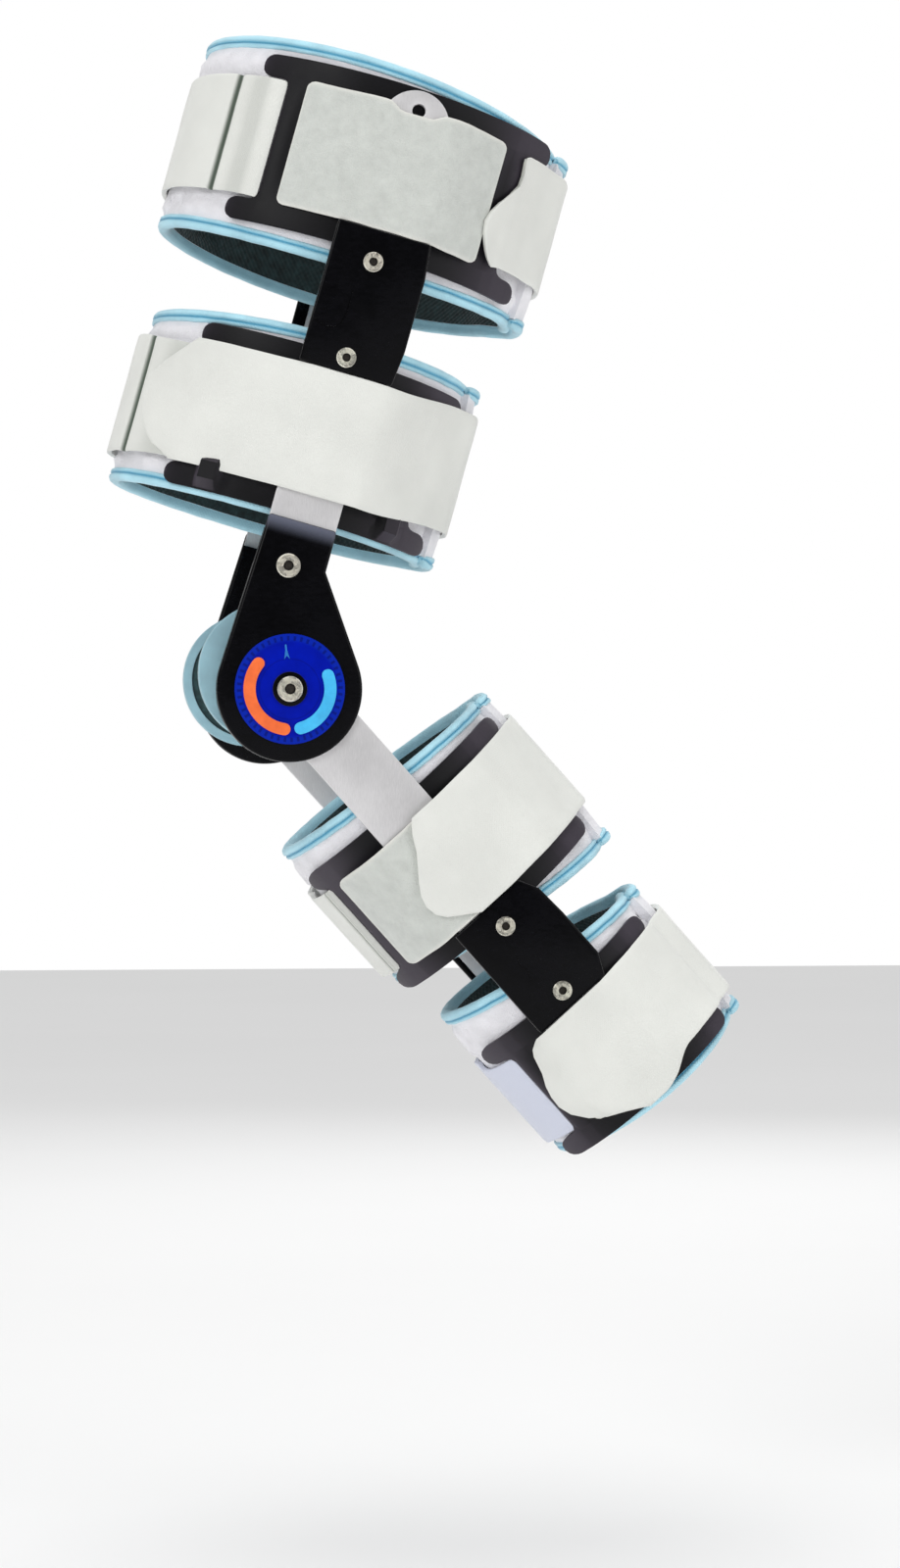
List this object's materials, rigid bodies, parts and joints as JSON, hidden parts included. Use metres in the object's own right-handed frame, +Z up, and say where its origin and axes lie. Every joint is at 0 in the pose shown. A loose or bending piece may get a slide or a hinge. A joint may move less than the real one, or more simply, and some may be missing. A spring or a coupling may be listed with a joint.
{
  "type": "hinged knee immobilizer",
  "caption": "Hinged post-operative knee immobilizer with padded cuffs, side bars, straps and a dial hinge, bent at the knee.",
  "frame": {"origin": "on the flexion axis, midway between the outer and the inner hinge, where the wearer's knee sits", "axes": "+Z up, +X towards the back of the leg, -Y towards the outer side of a left leg; +Y is the flexion axis"},
  "size_m": [0.3179, 0.1882, 0.5536],
  "materials": {
    "fleece": "brushed loop fleece over foam",
    "binding": "stretch knit binding",
    "webbing": "smooth brushed strap",
    "felt": "mottled loop felt",
    "plate_plastic": "satin moulded",
    "gloss_plastic": "gloss moulded",
    "bar_aluminium": "satin",
    "rivet_metal": "polished",
    "dial_blue": "printed gloss",
    "arc_orange": "satin",
    "arc_cyan": "satin",
    "pad_foam": "foam-backed knit"
  },
  "bodies": {
    "thigh_frame": {"upper_thigh_wrap": "fleece", "upper_thigh_edge_top": "binding", "upper_thigh_edge_bottom": "binding", "upper_thigh_plate_outer": "plate_plastic", "upper_thigh_plate_inner": "plate_plastic", "upper_thigh_patch": "felt", "upper_thigh_strap": "webbing", "lower_thigh_wrap": "fleece", "lower_thigh_edge_top": "binding", "lower_thigh_edge_bottom": "binding", "lower_thigh_plate_outer": "plate_plastic", "lower_thigh_plate_inner": "plate_plastic", "lower_thigh_strap": "webbing", "outer_thigh_bar": "bar_aluminium", "outer_thigh_sleeve": "gloss_plastic", "outer_thigh_sleeve_rivet_1": "rivet_metal", "outer_thigh_sleeve_rivet_2": "rivet_metal", "outer_hinge_housing": "gloss_plastic", "outer_hinge_dial": "dial_blue", "outer_pivot_ring": "gloss_plastic", "outer_pivot_rivet": "rivet_metal", "outer_neck_rivet": "rivet_metal", "outer_hinge_pad": "pad_foam", "outer_hinge_pad_edge": "binding", "inner_thigh_bar": "bar_aluminium", "inner_thigh_sleeve": "gloss_plastic", "inner_thigh_sleeve_rivet_1": "rivet_metal", "inner_thigh_sleeve_rivet_2": "rivet_metal", "inner_hinge_housing": "gloss_plastic", "inner_hinge_dial": "dial_blue", "inner_pivot_ring": "gloss_plastic", "inner_pivot_rivet": "rivet_metal", "inner_neck_rivet": "rivet_metal", "inner_hinge_pad": "pad_foam", "inner_hinge_pad_edge": "binding", "outer_flexion_arc": "arc_orange", "outer_extension_arc": "arc_cyan"},
    "calf_frame": {"upper_calf_wrap": "fleece", "upper_calf_edge_top": "binding", "upper_calf_edge_bottom": "binding", "upper_calf_plate_outer": "plate_plastic", "upper_calf_plate_inner": "plate_plastic", "upper_calf_patch": "felt", "upper_calf_strap": "webbing", "lower_calf_wrap": "fleece", "lower_calf_edge_top": "binding", "lower_calf_edge_bottom": "binding", "lower_calf_plate_outer": "plate_plastic", "lower_calf_plate_inner": "plate_plastic", "lower_calf_patch": "felt", "lower_calf_strap": "webbing", "outer_calf_bar": "bar_aluminium", "outer_calf_sleeve": "gloss_plastic", "outer_calf_sleeve_rivet_1": "rivet_metal", "outer_calf_sleeve_rivet_2": "rivet_metal", "inner_calf_bar": "bar_aluminium", "inner_calf_sleeve": "gloss_plastic", "inner_calf_sleeve_rivet_1": "rivet_metal", "inner_calf_sleeve_rivet_2": "rivet_metal"}
  },
  "joints": [
    {"name": "knee_flex", "type": "hinge", "parent": "thigh_frame", "child": "calf_frame", "pos_m": [0, 0, 0], "axis": [0, -1, 0], "range_deg": [-57.5, 32.5]}
  ]
}
